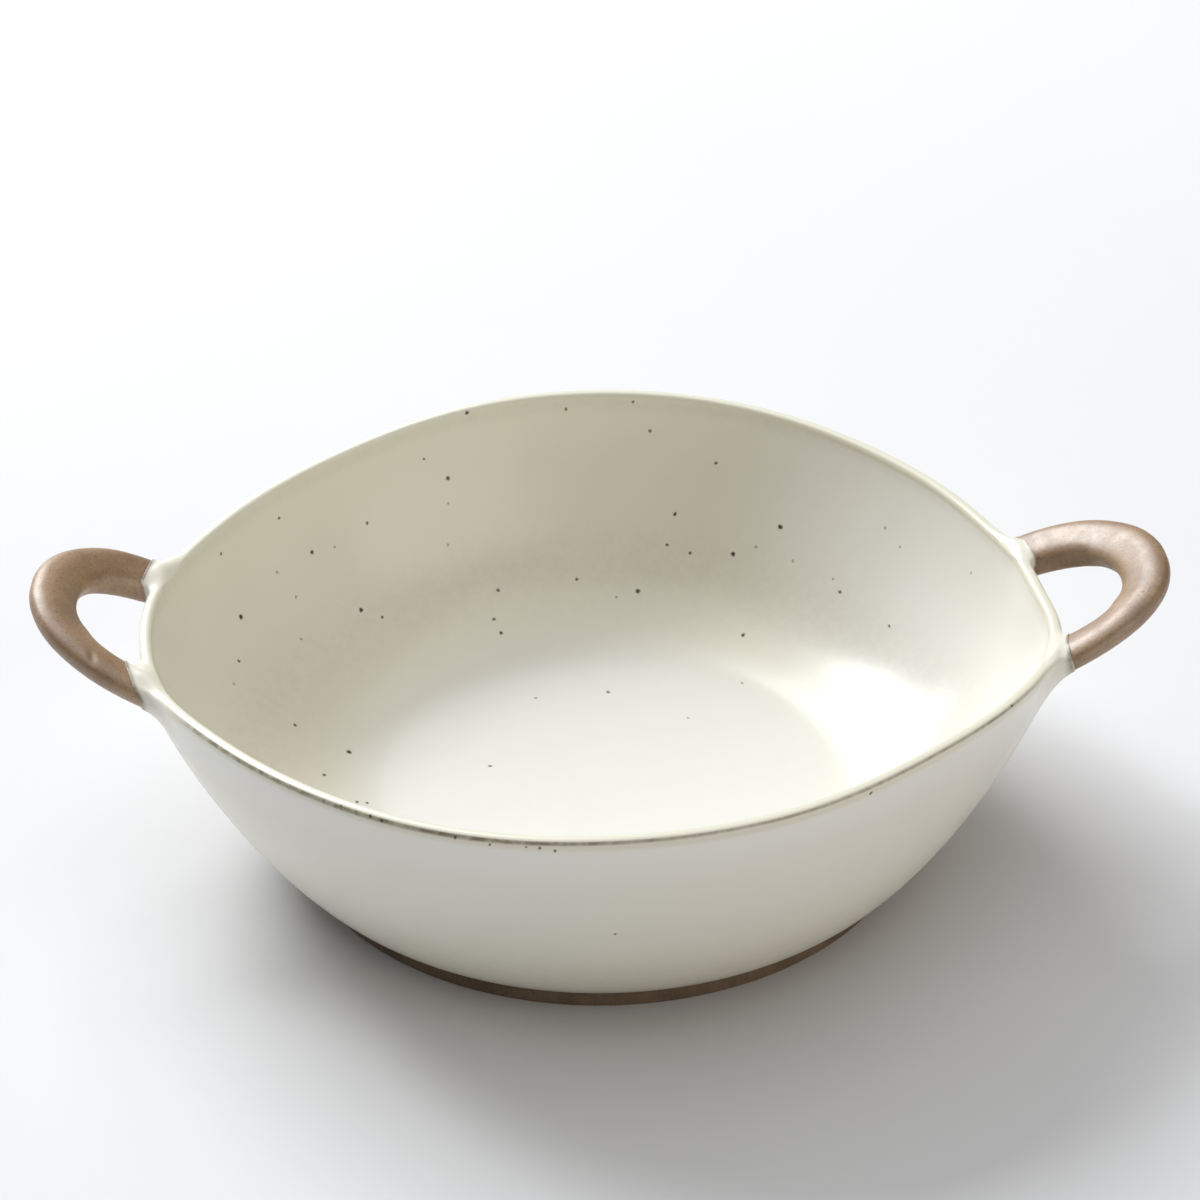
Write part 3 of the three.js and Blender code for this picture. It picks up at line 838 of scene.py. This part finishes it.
def glaze_material(name, settings, specks):
    """Satin cream glaze: soft clouds, painted light as whiter and less yellow tones, olive brown where it
    thins at edges and as painted shade low on the walls, iron specks at given places with ragged
    outlines, a sparse scatter of faint ones, more of them where an attribute says so, and a fine
    orange-peel surface. It ends in a wavy line over the foot, and the clay under that line is bare."""
    finish = settings.finish
    n = Nodes(name)
    cloud = n.ramp(n.noise(26.0, 3.0), 0.3, 0.7)
    cream = n.blend(cloud, finish.glaze, finish.glaze_cloud)
    # Painted light: the whiter, less yellow tone and the whiter glaze come in here.
    cream = n.blend(n.attribute("pool_glaze"), cream, finish.glaze_painted_light_neutral)
    cream = n.blend(n.attribute("thick_glaze"), cream, finish.glaze_painted_light_white)
    broken = n.ramp(n.noise(320.0, 4.0, 0.7), 0.35, 0.65, 0.55, 1.0)
    # Thin glaze at edges, and painted shade low on the walls, come in here.
    edged_and_shaded = n.blend(n.maths("MULTIPLY", n.attribute("thin_glaze"), broken), cream, finish.glaze_thin_and_painted_shade)
    ragged = n.add("ShaderNodeTexNoise")
    ragged.inputs["Scale"].default_value = 1400.0
    n.put(ragged.inputs["Vector"], n.place)
    shift = n.vector("SUBTRACT", ragged.outputs["Color"], (0.5, 0.5, 0.5))
    frayed = n.add("ShaderNodeVectorMath", operation="MULTIPLY_ADD")
    n.put(frayed.inputs[0], shift)
    frayed.inputs[1].default_value = (0.9 * MM,) * 3
    n.put(frayed.inputs[2], n.place)
    frayed = frayed.outputs["Vector"]
    mask = 0.0
    for place, radius, strength in specks:
        away = n.vector("DISTANCE", frayed, tuple(place), "Value")
        spot = n.ramp(away, 0.45 * radius, 1.1 * radius, strength, 0.0)
        mask = n.maths("MAXIMUM", spot, mask)
    scatter = n.cells(95.0, frayed)
    few = n.ramp(n.maths("FRACT", n.maths("MULTIPLY", scatter.outputs["Color"], 7.31)), 0.965, 0.97)
    dots = n.ramp(scatter.outputs["Distance"], 0.03, 0.055, 0.55, 0.0)
    mask = n.maths("MAXIMUM", mask, n.maths("MULTIPLY", few, dots))
    more = n.cells(140.0, frayed)
    grain = n.ramp(more.outputs["Distance"], 0.05, 0.085, 0.85, 0.0)
    mask = n.maths("MAXIMUM", mask, n.maths("MULTIPLY", n.attribute("scattered_specks"), grain))
    specked = n.blend(mask, edged_and_shaded, finish.speck)
    apart = n.add("ShaderNodeSeparateXYZ")
    n.put(apart.inputs[0], n.place)
    slant = n.maths("MULTIPLY_ADD", apart.outputs["X"], 0.006, apart.outputs["Z"])
    wave = n.maths("MULTIPLY_ADD", n.noise(45.0, 3.0), 0.9 * MM, slant)
    level = settings.wall.foot_height + 1.4 * MM
    bare = n.ramp(wave, level, level + 0.15 * MM, 1.0, 0.0)
    fringe = n.ramp(wave, level, level + 0.8 * MM, 0.6, 0.0)
    fringed = n.blend(fringe, specked, finish.glaze_thin_and_painted_shade)
    n.shade("Base Color", n.blend(bare, fringed, finish.foot))
    gloss = n.ramp(n.noise(60.0, 2.0), 0.2, 0.8, 0.225, 0.255)
    n.shade("Roughness", n.maths("MULTIPLY_ADD", bare, 0.45, gloss))
    n.shade("Normal", n.bump(n.noise(700.0, 2.0), 0.05 * MM, 0.25))
    n.shade("IOR", 1.5)
    return n.material


def clay_material(finish):
    """Burnished bare clay: toasted patches, fine dark grain, pin-holes and an uneven satin gloss."""
    n = Nodes("burnished_handle_clay")
    patch = n.ramp(n.noise(60.0, 5.0, 0.65), 0.36, 0.66)
    toned = n.blend(patch, finish.clay, finish.clay_dark)
    fine = n.noise(1500.0, 3.0, 0.7)
    grain = n.ramp(fine, 0.47, 0.7, 0.0, 0.6)
    grained = n.blend(grain, toned, finish.clay_grain)
    pits = n.cells(420.0)
    rare = n.ramp(n.maths("FRACT", n.maths("MULTIPLY", pits.outputs["Color"], 5.7)), 0.9, 0.92)
    dot = n.maths("MULTIPLY", rare, n.ramp(pits.outputs["Distance"], 0.08, 0.2, 0.85, 0.0))
    n.shade("Base Color", n.blend(dot, grained, finish.clay_grain))
    n.shade("Roughness", n.ramp(n.noise(240.0, 4.0, 0.6), 0.3, 0.7, 0.42, 0.5))
    n.shade("Specular IOR Level", 1.0)
    height = n.maths("SUBTRACT", n.maths("MULTIPLY", fine, 0.5), dot)
    n.shade("Normal", n.bump(height, 0.08 * MM, 0.35))
    n.shade("IOR", 1.55)
    return n.material


def foot_material(finish):
    """Dry bare clay of the foot: dark brown with coarse patches and grain, matt."""
    n = Nodes("dry_foot_clay")
    patch = n.ramp(n.noise(110.0, 4.0, 0.6), 0.35, 0.68)
    toned = n.blend(patch, finish.foot, finish.foot_dark)
    fine = n.noise(1800.0, 3.0, 0.6)
    n.shade("Base Color", n.blend(n.ramp(fine, 0.45, 0.75, 0.0, 0.55), toned, finish.clay_grain))
    n.shade("Roughness", n.ramp(fine, 0.3, 0.7, 0.7, 0.85))
    n.shade("Normal", n.bump(fine, 0.1 * MM, 0.5))
    return n.material


def table_material(finish):
    """Pale matt table with faint clouds."""
    n = Nodes("pale_table")
    tone = n.ramp(n.noise(3.0, 2.0), 0.3, 0.7)
    pale = tuple(0.985 * x for x in finish.table)
    n.shade("Base Color", n.blend(tone, finish.table, pale))
    n.shade("Roughness", 0.75)
    n.shade("Specular IOR Level", 0.2)
    return n.material


# Camera and specks


def camera_axes(stage):
    """Place of the camera, and its right, up and forward directions."""
    turn, tilt, roll = stage.camera_turn, stage.camera_tilt, stage.camera_roll
    right = np.array([math.cos(turn), math.sin(turn), 0.0])
    level = np.array([-math.sin(turn), math.cos(turn), 0.0])
    ahead = math.cos(tilt) * level - math.sin(tilt) * UP
    up = math.sin(tilt) * level + math.cos(tilt) * UP
    rolled_right = math.cos(roll) * right + math.sin(roll) * up
    rolled_up = -math.sin(roll) * right + math.cos(roll) * up
    off_line = stage.camera_rise * rolled_up + stage.camera_side * rolled_right
    return stage.aim_height * UP + off_line - stage.camera_distance * ahead, rolled_right, rolled_up, ahead


def on_surface(stage, points, pixels):
    """Points on a surface under pixels of the view: for each pixel the grid point that is nearest to
    its ray among those that face the camera is found, and the ray is cut with the tangent plane there."""
    place, right, up, ahead = camera_axes(stage)
    focal = stage.lens / SENSOR_MM * IMAGE_SIDE
    pixels = np.asarray(pixels, float)
    offset = (pixels - IMAGE_SIDE / 2) / focal
    rays = unit(ahead + offset[:, :1] * right - offset[:, 1:] * up)
    round_step = np.roll(points, -1, 1) - np.roll(points, 1, 1)
    long_step = np.gradient(points, axis=0)
    normal = np.cross(round_step, long_step)
    facing = np.sum(normal * (place - points), -1).ravel() > 0.0
    seen = points.reshape(-1, 3)
    normal = normal.reshape(-1, 3)
    away = seen - place
    distance = np.linalg.norm(np.cross(away[None], rays[:, None]), axis=-1)
    nearest = np.argmin(np.where(facing[None], distance, np.inf), 1)
    plane = unit(normal[nearest])
    reach = np.sum(away[nearest] * plane, -1) / np.sum(rays * plane, -1)
    return place + reach[:, None] * rays


def speck_list(stage, points):
    """Place, radius and strength of every iron speck on the body."""
    inside_from = len(points) - INSIDE_ROWS - FLOOR_ROWS + 1
    inside = points[inside_from - LIP_ROWS // 2:]
    outside = points[UNDERSIDE_ROWS + 8:inside_from - LIP_ROWS // 3]
    groups = (
        (SPECKS_BOLD, inside, 0.8 * MM, 0.97),
        (SPECKS_PLAIN, inside, 0.62 * MM, 0.85),
        (SPECKS_FAINT, inside, 0.55 * MM, 0.5),
        (SPECKS_LIP, outside, 0.5 * MM, 0.85),
        (SPECKS_OUTSIDE, outside, 0.45 * MM, 0.8),
    )
    found = []
    for pixels, surface, radius, strength in groups:
        places = on_surface(stage, surface, pixels)
        sizes = radius * (0.85 + 0.3 * np.modf(np.arange(len(places)) * 0.618)[0])
        found += [(tuple(map(float, p)), float(r), strength) for p, r in zip(places, sizes)]
    return found


# Operators


class HANDLEDBOWL_OT_body(bpy.types.Operator):
    """Build the glazed body of the bowl"""

    bl_idname = "handled_bowl.body"
    bl_label = "Glazed body"

    def execute(self, context):
        settings = context.scene.handled_bowl
        points, shares = body_surface(settings.wall, settings.coat)
        specks = speck_list(settings.stage, points)
        glaze = glaze_material("satin_cream_glaze", settings, specks)
        add_piece("glazed_body", closed_skin(points), glaze, "bowl_body", shares)
        return {"FINISHED"}


class HANDLEDBOWL_OT_foot(bpy.types.Operator):
    """Build the bare foot ring"""

    bl_idname = "handled_bowl.foot"
    bl_label = "Foot ring"

    def execute(self, context):
        settings = context.scene.handled_bowl
        skin = ring_skin(foot_surface(settings.wall))
        add_piece("bare_foot", skin, foot_material(settings.finish), "foot_ring")
        return {"FINISHED"}


class HANDLEDBOWL_OT_handles(bpy.types.Operator):
    """Build the two loop handles of bare clay"""

    bl_idname = "handled_bowl.handles"
    bl_label = "Loop handles"

    def execute(self, context):
        settings = context.scene.handled_bowl
        loop = Loop(settings.wall, settings.handle)
        clay = clay_material(settings.finish)
        right = strap_surface(loop, ROOTS["right_rear"], ROOTS["right_front"])
        left = strap_surface(loop, ROOTS["left_front"], ROOTS["left_rear"], DENTS_LEFT) * END_TO_END
        for end, points in (("right", right), ("left", left)):
            skin = closed_skin(by_hand(settings.wall, points))
            add_piece(f"clay_handle_{end}", skin, clay, f"{end}_handle")
        return {"FINISHED"}


class HANDLEDBOWL_OT_roots(bpy.types.Operator):
    """Build the four glazed roots where the handles grow out of the wall"""

    bl_idname = "handled_bowl.roots"
    bl_label = "Glazed roots"

    def execute(self, context):
        settings = context.scene.handled_bowl
        loop = Loop(settings.wall, settings.handle)
        glaze = glaze_material("satin_cream_glaze_roots", settings, ())
        for place, root in ROOTS.items():
            points, shares = root_surface(loop, root)
            skin = closed_skin(by_hand(settings.wall, points * np.array(root.flip)))
            add_piece(f"glazed_root_{place}", skin, glaze, f"{place}_root", shares)
        return {"FINISHED"}


class HANDLEDBOWL_OT_stage(bpy.types.Operator):
    """Set the table, the lights and the camera"""

    bl_idname = "handled_bowl.stage"
    bl_label = "Table, lights and camera"

    def execute(self, context):
        scene = context.scene
        settings = scene.handled_bowl
        stage = settings.stage
        side = TABLE_SIDE / 2
        mesh = bpy.data.meshes.new("table")
        corners = [(-side, -side, 0.0), (side, -side, 0.0), (side, side, 0.0), (-side, side, 0.0)]
        mesh.from_pydata(corners, [], [(0, 1, 2, 3)])
        mesh.materials.append(table_material(settings.finish))
        table = bpy.data.objects.new("table", mesh)
        scene.collection.objects.link(table)
        self.add_lights(scene, stage)
        self.add_room(scene, stage)
        self.add_camera(scene, stage)
        scene.view_settings.view_transform = "Standard"
        return {"FINISHED"}

    def add_lights(self, scene, stage):
        """Square area lights round the bowl, all turned to it."""
        for name in LIGHTS:
            words = ("turn", "height", "side", "power")
            turn, height, side, power = (getattr(stage, f"{name}_{word}") for word in words)
            level = math.cos(height)
            towards = Vector((level * math.cos(turn), level * math.sin(turn), math.sin(height)))
            light = bpy.data.lights.new(name, "AREA")
            light.shape = "SQUARE"
            light.size = side
            light.energy = power
            light.color = stage.warm_light if name == "fill" else stage.daylight
            lamp = bpy.data.objects.new(name, light)
            lamp.location = towards * stage.light_distance
            lamp.rotation_euler = towards.to_track_quat("Z", "Y").to_euler()
            scene.collection.objects.link(lamp)

    def add_room(self, scene, stage):
        """Room: a faint light from all round, and a pale backdrop for the camera alone."""
        world = bpy.data.worlds.new("room")
        world.use_nodes = True
        tree = world.node_tree
        room = tree.nodes["Background"]
        room.inputs["Color"].default_value = (*stage.room_tint, 1.0)
        room.inputs["Strength"].default_value = stage.room_light
        backdrop = tree.nodes.new("ShaderNodeBackground")
        backdrop.inputs["Color"].default_value = (*stage.backdrop, 1.0)
        path = tree.nodes.new("ShaderNodeLightPath")
        mix = tree.nodes.new("ShaderNodeMixShader")
        tree.links.new(path.outputs["Is Camera Ray"], mix.inputs["Fac"])
        tree.links.new(room.outputs["Background"], mix.inputs[1])
        tree.links.new(backdrop.outputs["Background"], mix.inputs[2])
        tree.links.new(mix.outputs["Shader"], tree.nodes["World Output"].inputs["Surface"])
        scene.world = world

    def add_camera(self, scene, stage):
        """Camera of the view."""
        place, right, up, ahead = camera_axes(stage)
        data = bpy.data.cameras.new("camera")
        data.sensor_width = SENSOR_MM
        data.lens = stage.lens
        data.clip_start = 0.01
        camera = bpy.data.objects.new("camera", data)
        matrix = np.eye(4)
        matrix[:3] = np.stack([right, up, -ahead, place], 1)
        camera.matrix_world = Matrix(matrix.tolist())
        scene.collection.objects.link(camera)
        scene.camera = camera


class HANDLEDBOWL_PT_panel(bpy.types.Panel):
    """Operators and values of the bowl"""

    bl_idname = "HANDLEDBOWL_PT_panel"
    bl_label = "Handled Bowl"
    bl_space_type = "VIEW_3D"
    bl_region_type = "UI"
    bl_category = "Bowl"

    def draw(self, context):
        layout = self.layout
        for operator in OPERATORS:
            layout.operator(operator.bl_idname)
        settings = context.scene.handled_bowl
        for group in (settings.wall, settings.handle, settings.coat, settings.finish, settings.stage):
            box = layout.box()
            for name in group.__annotations__:
                box.prop(group, name)


OPERATORS = (
    HANDLEDBOWL_OT_stage,
    HANDLEDBOWL_OT_body,
    HANDLEDBOWL_OT_foot,
    HANDLEDBOWL_OT_handles,
    HANDLEDBOWL_OT_roots,
)
GROUPS = (WallSizes, HandleSizes, GlazeCoat, Finishes, StageSizes, HandledBowl)
CLASSES = (*GROUPS, *OPERATORS, HANDLEDBOWL_PT_panel)


def register():
    for cls in CLASSES:
        bpy.utils.register_class(cls)
    bpy.types.Scene.handled_bowl = PointerProperty(type=HandledBowl)


def unregister():
    del bpy.types.Scene.handled_bowl
    for cls in reversed(CLASSES):
        bpy.utils.unregister_class(cls)


def main():
    register()
    bpy.ops.handled_bowl.stage()
    bpy.ops.handled_bowl.body()
    bpy.ops.handled_bowl.foot()
    bpy.ops.handled_bowl.handles()
    bpy.ops.handled_bowl.roots()


if __name__ == "__main__":
    main()
